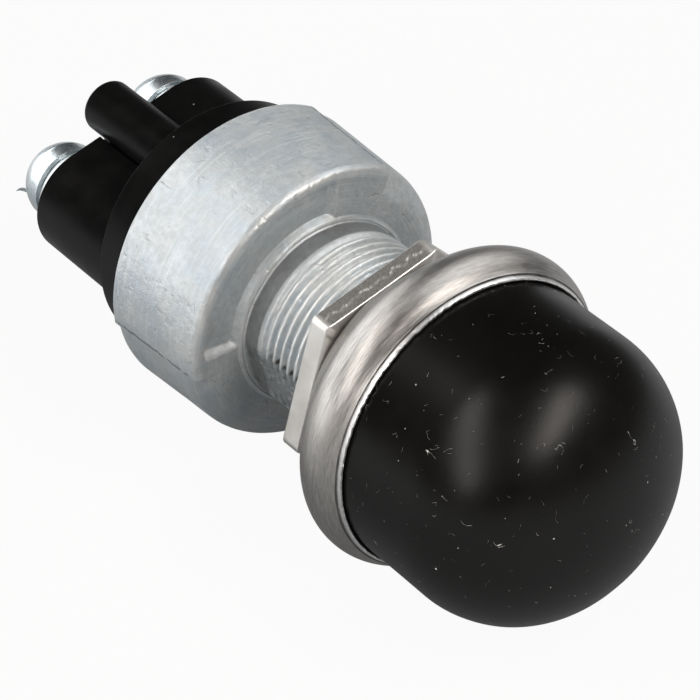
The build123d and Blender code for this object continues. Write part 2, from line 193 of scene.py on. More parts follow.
def make_turned():
    """Fine lines round the axis, as left by turning and spinning."""
    tree, takes, gives = group("turned_lines", {"Density": 9000.0, "Reach": 3.0}, ["Height"])
    spot = put(tree, "ShaderNodeSeparateXYZ", {0: place(tree)})
    east, north, up = spot.node.outputs
    angle = calc(tree, "ARCTAN2", north, east)
    outward = times(tree, from_axis(tree, east, north), takes["Density"])
    swept = put(
        tree,
        "ShaderNodeCombineXYZ",
        {
            "X": times(tree, calc(tree, "SINE", angle), takes["Reach"]),
            "Y": calc(tree, "MULTIPLY_ADD", calc(tree, "COSINE", angle), takes["Reach"], outward),
            "Z": times(tree, up, takes["Density"]),
        },
    )
    rough = {"Vector": swept, "Scale": 1.0, "Detail": 3.0, "Roughness": 0.65}
    lines = put(tree, "ShaderNodeTexNoise", rough)
    tree.links.new(lines, gives["Height"])
    return tree


def make_grain():
    """An even fine grain with scattered deeper pits, as a height."""
    tree, takes, gives = group("grain", {"Scale": 5000.0, "Pits": 0.5}, ["Height"])
    spot = place(tree)
    fine = put(tree, "ShaderNodeTexNoise", {"Vector": spot, "Scale": takes["Scale"], "Detail": 3.0})
    wide = times(tree, takes["Scale"], 0.22)
    hole = put(tree, "ShaderNodeTexNoise", {"Vector": spot, "Scale": wide, "Detail": 2.0})
    deep = times(tree, ease(tree, hole, 0.60, 0.72), takes["Pits"])
    tree.links.new(calc(tree, "SUBTRACT", fine, deep), gives["Height"])
    return tree


def make_scratch():
    """Thin broken lines that wander over the surface, as left by handling."""
    tree, takes, gives = group("scratches", {"Scale": 240.0, "Thin": 0.004, "Share": 0.6}, ["Mask"])
    spot = place(tree)
    wander = {"Vector": spot, "Scale": takes["Scale"], "Detail": 2.0, "Roughness": 0.4}
    off = calc(tree, "ABSOLUTE", calc(tree, "SUBTRACT", put(tree, "ShaderNodeTexNoise", wander), 0.5))
    thread = ease(tree, off, times(tree, takes["Thin"], 0.4), takes["Thin"], 1.0, 0.0)
    fine = times(tree, takes["Scale"], 2.6)
    broken = put(tree, "ShaderNodeTexNoise", {"Vector": spot, "Scale": fine, "Detail": 3.0})
    shown = ease(tree, broken, calc(tree, "SUBTRACT", takes["Share"], 0.04), takes["Share"])
    tree.links.new(times(tree, thread, shown), gives["Mask"])
    return tree


MOTTLE, DUST, TURNED = make_mottle(), make_dust(), make_turned()
GRAIN, SCRATCH = make_grain(), make_scratch()


# ---------------------------------------------------------------- finishes
def finish(name, metallic=0.0, specular=0.5, anisotropic=0.0):
    """A new material: its tree and its shader's inputs."""
    made = bpy.data.materials.new(name)
    made.use_nodes = True
    tree = made.node_tree
    sockets = tree.nodes["Principled BSDF"].inputs
    sockets["Metallic"].default_value = metallic
    sockets["Specular IOR Level"].default_value = specular
    sockets["IOR"].default_value = 1.5
    sockets["Anisotropic"].default_value = anisotropic
    return made, tree, sockets


def relief(tree, sockets, height, depth, strength=1.0):
    """Sends a height to the shader's normal."""
    bumped = put(tree, "ShaderNodeBump", {"Height": height, "Distance": depth, "Strength": strength})
    tree.links.new(bumped, sockets["Normal"])


def mark(tree, name):
    """A value stored on the piece's points."""
    return put(tree, "ShaderNodeAttribute", attribute_name=name, out="Fac")


def zinc_casting():
    """Bare die-cast zinc: bluish, finely mottled, streaked and scratched, rubbed bright on its edges, with
    painted highlights on its rounded edges and ridges and painted shade in its recesses.
    """
    made, tree, sockets = finish("zinc_casting", metallic=0.6)
    broad = use(tree, MOTTLE, "Mask", scale=110.0, detail=8.0, soft=0.13)
    patches = use(tree, MOTTLE, "Mask", scale=380.0, detail=7.0, soft=0.13)
    flecks = use(tree, MOTTLE, "Mask", scale=1500.0, detail=4.0, soft=0.14)
    scratches = use(tree, SCRATCH, "Mask", scale=240.0, thin=0.0035, share=0.60)
    streaks = use(tree, TURNED, "Height", density=3800.0, reach=2.6)
    wear_and_highlight, raw, cut = mark(tree, "wear_and_highlight"), mark(tree, "raw"), mark(tree, "cut")
    base = tint(tree, broad, (0.46, 0.525, 0.575, 1), (0.62, 0.66, 0.685, 1))
    base = tint(tree, times(tree, patches, 0.5), base, (0.615, 0.61, 0.59, 1))
    base = tint(tree, times(tree, flecks, 0.5), base, (0.44, 0.475, 0.49, 1))
    streaked = times(tree, ease(tree, streaks, 0.50, 0.68), 0.35)
    base = tint(tree, streaked, base, (0.74, 0.76, 0.765, 1))
    base = tint(tree, times(tree, raw, 0.8), base, (0.25, 0.265, 0.27, 1))
    # wear and painted highlights lighten the colour
    base = tint(tree, times(tree, wear_and_highlight, 0.75), base, (0.84, 0.84, 0.82, 1))
    base = tint(tree, times(tree, scratches, 0.45), base, grey(0.22, 0.03))
    # dark marks: seam lines and thread notches, and painted shade at the pocket's wall and the neck's foot
    base = tint(tree, cut, base, grey(0.06, 0.05))
    tree.links.new(base, sockets["Base Color"])
    dull = calc(tree, "MULTIPLY_ADD", patches, 0.08, 0.44)
    shine = calc(tree, "MULTIPLY_ADD", wear_and_highlight, -0.16, dull)
    tree.links.new(calc(tree, "MULTIPLY_ADD", raw, 0.08, shine), sockets["Roughness"])
    fine = use(tree, GRAIN, "Height", scale=4600.0, pits=0.9)
    cast = put(tree, "ShaderNodeTexNoise", {"Vector": place(tree), "Scale": 1300.0, "Detail": 3.0})
    uneven = calc(tree, "MULTIPLY_ADD", cast, 1.8, fine)
    scored = calc(tree, "MULTIPLY_ADD", scratches, -1.2, uneven)
    relief(tree, sockets, calc(tree, "MULTIPLY_ADD", streaks, 0.8, scored), 0.000034, 1.0)
    return made


def phenolic():
    """Black moulded phenolic: satin, faintly cloudy, with a few pale specks."""
    made, tree, sockets = finish("phenolic", specular=0.2)
    cloud = use(tree, MOTTLE, "Mask", scale=350.0, detail=4.0, soft=0.2)
    specks = use(tree, DUST, "Mask", spacing=0.0019, size=0.07, share=0.28, fibres=0.0)
    base = tint(tree, cloud, grey(0.005), grey(0.008))
    tree.links.new(tint(tree, specks, base, grey(0.42, 0.05)), sockets["Base Color"])
    rough = calc(tree, "MULTIPLY_ADD", cloud, 0.08, 0.33)
    tree.links.new(calc(tree, "MULTIPLY_ADD", specks, 0.4, rough), sockets["Roughness"])
    fine = use(tree, GRAIN, "Height", scale=3800.0, pits=0.2)
    relief(tree, sockets, calc(tree, "MULTIPLY_ADD", specks, 1.5, fine), 0.000007)
    return made


def boot_rubber():
    """Black rubber: satin, a little smeared, dusted with pale specks and fibres."""
    made, tree, sockets = finish("boot_rubber", specular=0.3)
    smear = use(tree, MOTTLE, "Mask", scale=120.0, detail=5.0, soft=0.16)
    big = use(tree, DUST, "Mask", spacing=0.0019, size=0.062, share=0.46, fibres=1.0)
    small = use(tree, DUST, "Mask", spacing=0.0009, size=0.085, share=0.34, fibres=0.0)
    dust = calc(tree, "MAXIMUM", big, times(tree, small, 0.8))
    base = tint(tree, smear, grey(0.0035, 0.12), grey(0.0052, 0.12))
    base = tint(tree, times(tree, dust, 0.95), base, grey(0.85, 0.02))
    tree.links.new(base, sockets["Base Color"])
    rough = calc(tree, "MULTIPLY_ADD", smear, 0.05, 0.31)
    tree.links.new(calc(tree, "MULTIPLY_ADD", dust, 0.5, rough), sockets["Roughness"])
    fine = use(tree, GRAIN, "Height", scale=4200.0, pits=0.3)
    relief(tree, sockets, calc(tree, "MULTIPLY_ADD", dust, 2.5, fine), 0.000006)
    return made


def nickel_shell():
    """Nickel-plated spun steel with fine lines round it."""
    made, tree, sockets = finish("nickel_shell", metallic=1.0, anisotropic=0.35)
    lines = use(tree, TURNED, "Height", density=15000.0, reach=11.0)
    broad = use(tree, TURNED, "Height", density=5200.0, reach=5.0)
    film = use(tree, MOTTLE, "Mask", scale=180.0, detail=5.0, soft=0.18)
    wear_and_highlight = mark(tree, "wear_and_highlight")
    base = tint(tree, ease(tree, lines, 0.34, 0.66), grey(0.33, 0.035), grey(0.53, 0.03))
    dark_streaks = ease(tree, broad, 0.30, 0.46, 1.0, 0.0)
    base = tint(tree, times(tree, dark_streaks, 0.5), base, grey(0.22, 0.06))
    base = tint(tree, times(tree, film, 0.3), base, grey(0.42, 0.06))
    # the torn lip is lightened: bare metal, and a painted highlight
    base = tint(tree, times(tree, wear_and_highlight, 0.9), base, grey(0.92))
    # painted shade on the torn lip, below its top and inside it where it meets the rubber
    base = tint(tree, mark(tree, "cut"), base, grey(0.03, 0.05))
    tree.links.new(base, sockets["Base Color"])
    rough = calc(tree, "MULTIPLY_ADD", film, 0.08, 0.29)
    tree.links.new(calc(tree, "MULTIPLY_ADD", lines, 0.1, rough), sockets["Roughness"])
    relief(tree, sockets, calc(tree, "MULTIPLY_ADD", broad, 1.6, lines), 0.000012, 0.9)
    return made


def nickel_nut():
    """Warm nickel plate over stamped steel; the torn flats are grainy."""
    made, tree, sockets = finish("nickel_nut", metallic=0.9)
    raw, wear_and_highlight = mark(tree, "raw"), mark(tree, "wear_and_highlight")
    film = use(tree, MOTTLE, "Mask", scale=220.0, detail=4.0, soft=0.2)
    pits = use(tree, MOTTLE, "Mask", scale=5200.0, detail=3.0, soft=0.14)
    base = tint(tree, film, (0.63, 0.61, 0.575, 1), (0.74, 0.725, 0.70, 1))
    torn = tint(tree, pits, (0.20, 0.192, 0.18, 1), (0.28, 0.27, 0.255, 1))
    base = tint(tree, raw, base, torn)
    # the edges are lightened: wear, and painted highlights along them
    base = tint(tree, times(tree, wear_and_highlight, 0.8), base, grey(0.92, 0.01))
    tree.links.new(base, sockets["Base Color"])
    rough = calc(tree, "MULTIPLY_ADD", film, 0.06, 0.36)
    tree.links.new(calc(tree, "MULTIPLY_ADD", raw, 0.12, rough), sockets["Roughness"])
    fine = use(tree, GRAIN, "Height", scale=3600.0, pits=0.8)
    tall = calc(tree, "MULTIPLY_ADD", raw, 1.6, 0.35)
    relief(tree, sockets, times(tree, fine, tall), 0.00002)
    return made


def plated(name, cool, warm, low, lines):
    """Bright plate over steel or bare brass, with turning marks and handling film."""
    made, tree, sockets = finish(name, metallic=1.0)
    film = use(tree, MOTTLE, "Mask", scale=420.0, detail=4.0, soft=0.2)
    turned = use(tree, TURNED, "Height", density=lines, reach=1.5)
    tree.links.new(tint(tree, film, cool, warm), sockets["Base Color"])
    rough = calc(tree, "MULTIPLY_ADD", film, 0.1, low)
    tree.links.new(rough, sockets["Roughness"])
    fine = use(tree, GRAIN, "Height", scale=4000.0, pits=0.4)
    relief(tree, sockets, calc(tree, "MULTIPLY_ADD", turned, 0.6, fine), 0.000012)
    return made


def moulded(name, dark, light, rough_low, specular=0.5):
    """A plain moulding or rubber that is mostly hidden: cloudy, with a fine grain."""
    made, tree, sockets = finish(name, specular=specular)
    cloud = use(tree, MOTTLE, "Mask", scale=500.0, detail=4.0, soft=0.2)
    tree.links.new(tint(tree, cloud, dark, light), sockets["Base Color"])
    tree.links.new(calc(tree, "MULTIPLY_ADD", cloud, 0.1, rough_low), sockets["Roughness"])
    relief(tree, sockets, use(tree, GRAIN, "Height", scale=3000.0, pits=0.3), 0.00001)
    return made


FINISH = {
    "zinc_casting": zinc_casting(),
    "phenolic": phenolic(),
    "boot_rubber": boot_rubber(),
    "nickel_shell": nickel_shell(),
    "nickel_nut": nickel_nut(),
    "screw_zinc": plated("screw_zinc", (0.66, 0.74, 0.78, 1), (0.78, 0.83, 0.85, 1), 0.24, 900.0),
    "plated_steel": plated("plated_steel", (0.55, 0.60, 0.63, 1), (0.68, 0.71, 0.72, 1), 0.26, 4000.0),
    "contact_brass": plated("contact_brass", (0.66, 0.48, 0.20, 1), (0.78, 0.60, 0.30, 1), 0.24, 5000.0),
    "spring_wire": plated("spring_wire", grey(0.30, 0.03), grey(0.42, 0.03), 0.3, 800.0),
    "seal_rubber": moulded("seal_rubber", grey(0.015), grey(0.03), 0.5),
    "button_plastic": moulded("button_plastic", grey(0.018), grey(0.026), 0.22),
    "plunger_plastic": moulded("plunger_plastic", (0.60, 0.56, 0.46, 1), (0.70, 0.67, 0.58, 1), 0.4),
    "fibre": moulded("fibre", (0.20, 0.055, 0.03, 1), (0.30, 0.10, 0.06, 1), 0.55, 0.35),
}


METALS = [
    FINISH[name] for name in ("zinc_casting", "nickel_shell", "nickel_nut", "screw_zinc", "plated_steel")
]


# ---------------------------------------------------------------- shapes
def mix(a, b, t):
    """A value between two, at a share of the way."""
    return a + (b - a) * t


def step(value, low, high):
    """A smooth rise from 0 to 1 between two values."""
    t = min(1.0, max(0.0, (value - low) / (high - low)))
    return t * t * (3 - 2 * t)


def band(value, low, high, soft):
    """1 between two values, falling to 0 over a soft width on each side."""
    return step(value, low - soft / 2, low + soft / 2) * (1 - step(value, high - soft / 2, high + soft / 2))


def peak(value, centre, half):
    """A smooth ridge: 1 at the centre, 0 a half width away."""
    return max(0.0, 1 - ((value - centre) / half) ** 2) ** 2


def ripple(x, y=0.0, z=0.0):
    """Smooth noise between about -1 and 1, the same on every run."""
    return noise.noise(Vector((x, y, z)))


def line(start, end, count):
    """Points along a straight run, the last one left for the next run."""
    return [(mix(start[0], end[0], i / count), mix(start[1], end[1], i / count)) for i in range(count)]


def arc(centre, radius, first, last, count):
    """Points along an arc, both ends included; angles in degrees from the radius."""
    turns = [radians(mix(first, last, i / count)) for i in range(count + 1)]
    return [(centre[0] + radius * cos(t), centre[1] + radius * sin(t)) for t in turns]


def even(count):
    """Equal turns round the axis, in degrees."""
    return [360 * i / count for i in range(count)]


def lathe(name, ring_at, turns, slot):
    """Sweeps a closed ring of points round the axis, one ring for each turn.

    A point is its radius and height in mm, then its wear and painted highlight, how raw it is, and its dark
    cut lines and painted shade.
    """
    rings = [ring_at(turn) for turn in turns]
    count = len(rings[0])
    mesh_maker = bmesh.new()
    wear_and_highlight = mesh_maker.verts.layers.float.new("wear_and_highlight")
    raw = mesh_maker.verts.layers.float.new("raw")
    cut = mesh_maker.verts.layers.float.new("cut")
    for turn, ring in zip(turns, rings):
        a = radians(turn)
        for point in ring:
            vert = mesh_maker.verts.new((point[0] * MM * cos(a), point[0] * MM * sin(a), point[1] * MM))
            if len(point) > 2:
                vert[wear_and_highlight], vert[raw] = point[2], point[3]
            if len(point) > 4:
                vert[cut] = point[4]
    mesh_maker.verts.ensure_lookup_table()
    verts = mesh_maker.verts
    for c in range(len(turns)):
        d = (c + 1) % len(turns)
        for i in range(count):
            j = (i + 1) % count
            here, there = c * count, d * count
            mesh_maker.faces.new((verts[here + i], verts[there + i], verts[there + j], verts[here + j]))
    bmesh.ops.remove_doubles(mesh_maker, verts=mesh_maker.verts[:], dist=2e-7)
    bmesh.ops.dissolve_degenerate(mesh_maker, edges=mesh_maker.edges[:], dist=1e-7)
    bmesh.ops.recalc_face_normals(mesh_maker, faces=mesh_maker.faces[:])
    return as_piece(name, mesh_maker, slot)


def as_piece(name, mesh_maker, slot, sharp=40):
    """Turns a bmesh into an object with its finish and smooth shading."""
    mesh = bpy.data.meshes.new(name)
    mesh_maker.to_mesh(mesh)
    mesh_maker.free()
    mesh.materials.append(FINISH[slot])
    for face in mesh.polygons:
        face.use_smooth = True
    mesh.set_sharp_from_angle(angle=radians(sharp))
    piece = bpy.data.objects.new(name, mesh)
    scene.collection.objects.link(piece)
    return piece


def settle(piece, body, slot, *nodes):
    """Hands a finished piece over: the body it rides on and the nodes it stands for. The slot is not used.
    """
    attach(piece, body)
    if nodes:
        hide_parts(*nodes)


# the top of the base's barrier in mm, as built and as shown, and half the width it lies in
BARRIER_Z, BARRIER_RAISED_Z, BARRIER_HALF = -28.0, -29.3, 2.45


def copied(node, slot):
    """A copy of a node's mesh, joined up, as a piece of its own."""
    mesh_maker = bmesh.new()
    mesh_maker.from_mesh(frame["nodes"][node].data)
    bmesh.ops.remove_doubles(mesh_maker, verts=mesh_maker.verts[:], dist=1e-6)
    if node == "terminal_base":
        # the barrier between the posts is shown nearly as high as the pillars
        for vert in mesh_maker.verts:
            if abs(vert.co.z - BARRIER_Z * MM) < 1e-6 and abs(vert.co.x) < BARRIER_HALF * MM:
                vert.co.z = BARRIER_RAISED_Z * MM
    bmesh.ops.dissolve_limit(
        mesh_maker, angle_limit=radians(1), verts=mesh_maker.verts[:], edges=mesh_maker.edges[:]
    )
    return as_piece(node + "_skin", mesh_maker, slot, 60)


def eased(node, body, slot, width, segments=2):
    """A copy of a node with its sharp edges rounded over."""
    piece = copied(node, slot)
    round_over = piece.modifiers.new("round_over", "BEVEL")
    round_over.width = width * MM
    round_over.segments = segments
    round_over.limit_method = "ANGLE"
    round_over.angle_limit = radians(35)
    level = piece.modifiers.new("level", "WEIGHTED_NORMAL")
    level.keep_sharp = True
    settle(piece, body, slot, node)


# ---------------------------------------------------------------- neck thread
GROOVE = (0.22, 0.86)       # shares of half a pitch where a groove starts and is at its full depth
RUN_IN = 1.3                # pitches over which the thread gets its full depth
RUN_OUT = 0.4 * MM          # the length over which it fades at the neck's end
CREST_WEAR = 0.22 * MM      # how unevenly the crests are worn, between extremes
LEAST_LEAN = 0.3            # keeps the plane of a flat at a finite distance a quarter turn away
NECK_FROM = 0.35 * MM       # only the neck above this height is cut
SKIN_OUT, SKIN_IN = 0.03 * MM, 0.25 * MM    # how far from the outer radius a point of its skin may be


def make_thread():
    """Cuts a right-handed screw thread, and two broken flats, into the skin of a neck along Z."""
    tree = bpy.data.node_groups.new("neck_thread", "GeometryNodeTree")
    face = tree.interface
    face.new_socket("Skin", in_out="INPUT", socket_type="NodeSocketGeometry")
    for label in ("Pitch", "Depth", "Start", "End", "Outer", "Flat", "Tear"):
        face.new_socket(label, in_out="INPUT", socket_type="NodeSocketFloat")
    face.new_socket("Finish", in_out="INPUT", socket_type="NodeSocketMaterial")
    face.new_socket("Skin", in_out="OUTPUT", socket_type="NodeSocketGeometry")
    takes = tree.nodes.new("NodeGroupInput").outputs
    gives = tree.nodes.new("NodeGroupOutput").inputs
    spot = put(tree, "GeometryNodeInputPosition")
    split = put(tree, "ShaderNodeSeparateXYZ", {0: spot})
    east, north, up = split.node.outputs
    radius = from_axis(tree, east, north)
    angle = calc(tree, "DIVIDE", calc(tree, "ARCTAN2", north, east), tau)
    # how far through a turn of the thread the point is, folded so that 1 is a crest and 0 a bottom
    turns = calc(tree, "SUBTRACT", calc(tree, "DIVIDE", up, takes["Pitch"]), angle)
    phase = calc(tree, "FRACT", turns)
    fold = calc(tree, "ABSOLUTE", calc(tree, "MULTIPLY_ADD", phase, 2.0, -1.0))
    groove = ease(tree, calc(tree, "SUBTRACT", 1.0, fold), *GROOVE)
    full = calc(tree, "MULTIPLY_ADD", takes["Pitch"], RUN_IN, takes["Start"])
    run_in = ease(tree, up, takes["Start"], full)
    run_out = ease(tree, up, calc(tree, "SUBTRACT", takes["End"], RUN_OUT), takes["End"], 1.0, 0.0)
    cut = times(tree, groove, run_in, times(tree, run_out, takes["Depth"]))
    wear = put(tree, "ShaderNodeTexNoise", {"Vector": spot, "Scale": 900.0, "Detail": 3.0})
    crest = times(tree, calc(tree, "SUBTRACT", wear, 0.5), CREST_WEAR, run_in)
    threaded = calc(tree, "SUBTRACT", calc(tree, "SUBTRACT", radius, cut), calc(tree, "ABSOLUTE", crest))
    # the flats: planes either side of the axis, torn where they break through the crests
    rough = put(tree, "ShaderNodeTexNoise", {"Vector": spot, "Scale": 1500.0, "Detail": 4.0})
    lean = calc(tree, "DIVIDE", calc(tree, "ABSOLUTE", east), radius)
    flat = calc(tree, "DIVIDE", takes["Flat"], calc(tree, "MAXIMUM", lean, LEAST_LEAN))
    broken = times(tree, calc(tree, "SUBTRACT", rough, 0.5), takes["Tear"])
    limit = calc(tree, "ADD", flat, broken)
    lower = calc(tree, "MINIMUM", threaded, limit)
    inside = calc(tree, "LESS_THAN", radius, calc(tree, "ADD", takes["Outer"], SKIN_OUT))
    outside = calc(tree, "GREATER_THAN", radius, calc(tree, "SUBTRACT", takes["Outer"], SKIN_IN))
    on_skin = times(tree, inside, calc(tree, "GREATER_THAN", up, NECK_FROM), outside)
    ratio = calc(tree, "DIVIDE", lower, radius)
    moved = put(
        tree,
        "ShaderNodeCombineXYZ",
        {"X": times(tree, east, ratio), "Y": times(tree, north, ratio), "Z": up},
    )
    changes = {0: takes["Skin"], "Selection": on_skin, "Position": moved}
    shaped = put(tree, "GeometryNodeSetPosition", changes)
    real = put(tree, "GeometryNodeRealizeInstances", {0: shaped})
    made = put(tree, "GeometryNodeSetMaterial", {0: real, "Material": takes["Finish"]})
    tree.links.new(made, gives["Skin"])
    return tree


def run_tree(piece, tree, values):
    """Runs a geometry tree on a piece with named inputs, and keeps the result as its plain mesh."""
    modifier = piece.modifiers.new(tree.name, "NODES")
    modifier.node_group = tree
    for item in tree.interface.items_tree:
        if item.in_out == "INPUT" and item.name in values:
            modifier[item.identifier] = values[item.name]
    ready = piece.evaluated_get(bpy.context.evaluated_depsgraph_get())
    mesh = bpy.data.meshes.new_from_object(ready)
    piece.modifiers.clear()
    piece.data = mesh


# ---------------------------------------------------------------- housing
# turns in degrees
PARTING = (42.0, 174.0)         # where the saddle of the casting starts and ends
SEAM_OFF, SEAM_WIDTH = 1.9, 0.8     # the dark line beside each end of the saddle
POCKET = (69.5, 163.5)          # where the shallow pocket in the face starts and ends
FLAT_HALF = 19                  # half the turn that a flat of the neck takes up
# radii and heights in mm; pairs are for the rest of the casting and for its saddle
SHOULDER_R, SKIRT_R, ROUNDING = (14.0, 14.3), (14.35, 14.75), (2.6, 0.9)
RIM_Z, RIM_TOP_Z, RIM_CHAMFER = -12.1, -11.95, 0.12
FACE_R = 9.62
NECK_R, NECK_TOP = 9.0, 14.2
PITCH, THREAD_DEPTH, THREAD_FROM = 1.0, 0.5, 2.2


def housing_ring(turn):
    """The casting's section at one turn: skirt, shoulder, face, neck, bore and cavity."""
    a = radians(turn)
    saddle = band(turn, *PARTING, 1.6)
    shoulder, skirt, rounding = (mix(*ends, saddle) for ends in (SHOULDER_R, SKIRT_R, ROUNDING))
    seam = peak(turn, PARTING[1] + 0.3, 1.1) + 0.6 * peak(turn, PARTING[0], 0.9)
    ring = []
    rim = line((skirt - RIM_CHAMFER, RIM_Z), (skirt, RIM_TOP_Z), 1)
    for r, z in rim + line((skirt, RIM_TOP_Z), (shoulder, -rounding), 30):
        flash = seam * (0.07 + 0.06 * ripple(z * 2.1, turn * 0.02, 3.0))
        drift = 0.9 * ripple(z * 1.3, 4.0) + 0.5 * ripple(z * 4.5, 6.0)
        split = peak(turn, PARTING[1] - SEAM_OFF + drift, SEAM_WIDTH)
        split += peak(turn, PARTING[0] + SEAM_OFF + drift, SEAM_WIDTH)
        split *= step(ripple(z * 1.7, 8.0), -0.5, 0.0)
        wave = 0.03 * ripple(r * cos(a) * 0.3, r * sin(a) * 0.3, z * 0.3)
        ring.append((r + flash + wave, z, step(seam, 0.3, 1.0) * 0.5, 0.0, 0.8 * split))
    for r, z in arc((shoulder - rounding, -rounding), rounding, 0, 90, 10):
        # a painted highlight along the middle of the saddle's rounded edge, patchy round the axis
        patchy = 0.45 + 0.9 * ripple(turn * 0.12, z * 3)
        painted_edge_highlight = saddle * peak(hypot(r - shoulder, z), 0.36, 0.3) * patchy
        ring.append((r + seam * 0.05, z, max(0.0, painted_edge_highlight), 0.0))
    start = shoulder - rounding
    hollow = band(turn + 0.5 * ripple(turn * 0.4, 9), *POCKET, 4.5)
    for t in (0.03, 0.06, 0.1, 0.13, 0.2, 0.3, 0.42, 0.55, 0.68, 0.8, 0.87, 0.92, 0.96, 1.0):
        r = mix(start, FACE_R, t)
        deep = hollow * band(r, 9.75, 13.12, 0.3)
        cast = 0.03 * ripple(r * cos(a) * 0.8, r * sin(a) * 0.8, 5.0)
        patchy = max(0.0, ripple(r * 3, turn * 0.3) + 0.4)
        # at the pocket's end the step gets a faint painted highlight along the land's edge and painted shade
        # on its wall
        land_edge_highlight = peak(turn, POCKET[1] + 1.6, 0.6) * step(r, 9.8, 10.6) * patchy
        painted_wall_shade = peak(turn, POCKET[1], 2.6) * step(r, 9.8, 10.4) * (1 - step(r, 12.6, 13.2))
        ring.append((r, -0.6 * deep + cast * (1 - t), land_edge_highlight * 0.14, 0.0, 0.4 * painted_wall_shade))
    lifted = 0.5 + 0.5 * ripple(turn * 0.06, 2.0)
    # a small raised ring goes round the foot of the neck, with a painted highlight along its top
    foot = ((9.52, 0.10, 0.2), (9.40, 0.22, 0.8), (9.26, 0.25, 1.0), (9.14, 0.17, 0.5), (9.04, 0.28, 0.1))
    for r, z, shine in foot:
        ring.append((r, z * (0.7 + 0.5 * lifted), shine * lifted, 0.0))
    for r, z in line((NECK_R, 0.36), (NECK_R, THREAD_FROM), 8):
        # painted shade in the corner where the neck meets the face, uneven round the axis
        neck_foot_shade = 0.3 + 0.3 * ripple(turn * 0.035, 1.0) + 0.15 * ripple(z * 3, turn * 0.25)
        ring.append((r, z, 0.15 * max(0.0, ripple(turn * 0.07, z)), 1.0, max(0.0, neck_foot_shade)))
    flat_turn = abs((turn + 90) % 180 - 90)
    raw = 1 - step(flat_turn, 14, 24)
    edge_turn = 19.5 + 1.2 * ripple(turn * 0.01, 3.0)
    for r, z in line((NECK_R, THREAD_FROM), (NECK_R, NECK_TOP - 0.3), 117):
        crest = abs(((z / PITCH - turn / 360) % 1.0) * 2 - 1)
        valley = 1 - crest
        notch = peak(flat_turn, edge_turn + 2.2 * valley, 1.3 + 2.4 * valley) * (1 - step(crest, 0.45, 0.8))
        patchy = step(ripple(z * 0.9, round(turn / 90)), -0.5, 0.0)
        notch *= step(z, 3.4, 4.2) * (1 - step(z, 8.5, 9.5)) * patchy
        shine = (1 - raw) * step(crest, 0.62, 0.95) * step(z, THREAD_FROM, THREAD_FROM + 0.8)
        ring.append((r, z, shine, raw, min(1.0, 1.2 * notch)))
    inside = [
        (8.62, NECK_TOP), (5.72, NECK_TOP), (5.5, NECK_TOP - 0.2), (5.5, -2.0), (10.4, -2.0), (10.4, -9.0),
        (12.8, -9.0), (12.8, RIM_TOP_Z), (12.8 + RIM_CHAMFER, RIM_Z),
    ]
    return ring + [(r, z, 0.0, 0.0) for r, z in inside]


fine_turns = {round(edge + 0.25 * k, 3) for edge in (*PARTING, *POCKET) for k in range(-17, 18)}
fine_turns |= {edge + 0.4 * k for edge in (20, 160, 200, 340) for k in range(-10, 11)}
housing = lathe("housing_skin", housing_ring, sorted(set(even(300)) | fine_turns), "zinc_casting")
run_tree(
    housing,
    make_thread(),
    {
        "Pitch": PITCH * MM,
        "Depth": THREAD_DEPTH * MM,
        "Start": THREAD_FROM * MM,
        "End": NECK_TOP * MM,
        "Outer": NECK_R * MM,
        "Flat": NECK_R * MM * cos(radians(FLAT_HALF)),
        "Tear": 0.55 * MM,
        "Finish": FINISH["zinc_casting"],
    },
)
settle(housing, "housing", "zinc_casting", "housing")


# ---------------------------------------------------------------- boot ring
def shell_ring(turn):
    """The spun shell's section: rear wall, cone, rounded band and a thin torn lip."""
    a = radians(turn)
    wave = -0.03 + 0.03 * ripple(cos(a) * 1.3, sin(a) * 1.3, 7.0)
    torn = 0.10 * ripple(cos(a) * 24, sin(a) * 24, 1.0) + 0.12 * ripple(cos(a) * 60, sin(a) * 60, 4.0)
    band_centre, band_r = (12.456, 18.144), 3.174
    ring = [(10.05, 12.05), (10.2, 11.95), (10.6, 11.95), (10.85, 12.05)]
    ring += line((11.0, 12.2), (14.6, 15.8), 8) + arc(band_centre, band_r, -45, 33.6, 26)
    ring += [(14.98, 20.07), (14.86, 20.25), (14.74, 20.45), (14.65, 20.62)]
    ring = [(r + wave, z, 0.0, 0.0) for r, z in ring]
    # the lip gets painted shade below its top and inside it where it meets the rubber
    shade = 0.55 + 0.45 * ripple(cos(a) * 9, sin(a) * 9, 3.0)
    ring += [(14.60, 20.66, 0.0, 0.0, 0.3 * shade), (14.53, 20.62 + 0.4 * torn, 0.0, 0.0, shade)]
    ring += [(14.46, 20.66 + 0.4 * torn, 0.2, 0.0, shade), (14.42, 20.9 + 0.6 * torn, 0.8, 0.0)]
    ring += [(14.34, 21.09 + torn, 1.0, 0.0), (14.20 + torn * 0.4, 21.12 + torn, 1.0, 0.0)]
    ring += [(14.06 + torn * 0.3, 21.0 + torn, 0.9, 0.0)]
    ring += [(14.03, 20.7, 0.2, 0.0, 0.6), (14.1, 20.35, 0.0, 0.0, 1.0)]
    inner = arc(band_centre, band_r - 0.9, 33.6, -45, 10) + [(10.6, 12.93), (10.2, 12.85), (10.05, 12.75)]
    return ring + [(r, z, 0.0, 0.0) for r, z in inner]


boot_ring = lathe("boot_ring_skin", shell_ring, even(540), "nickel_shell")
settle(boot_ring, "boot_unit", "nickel_shell", "boot_ring")


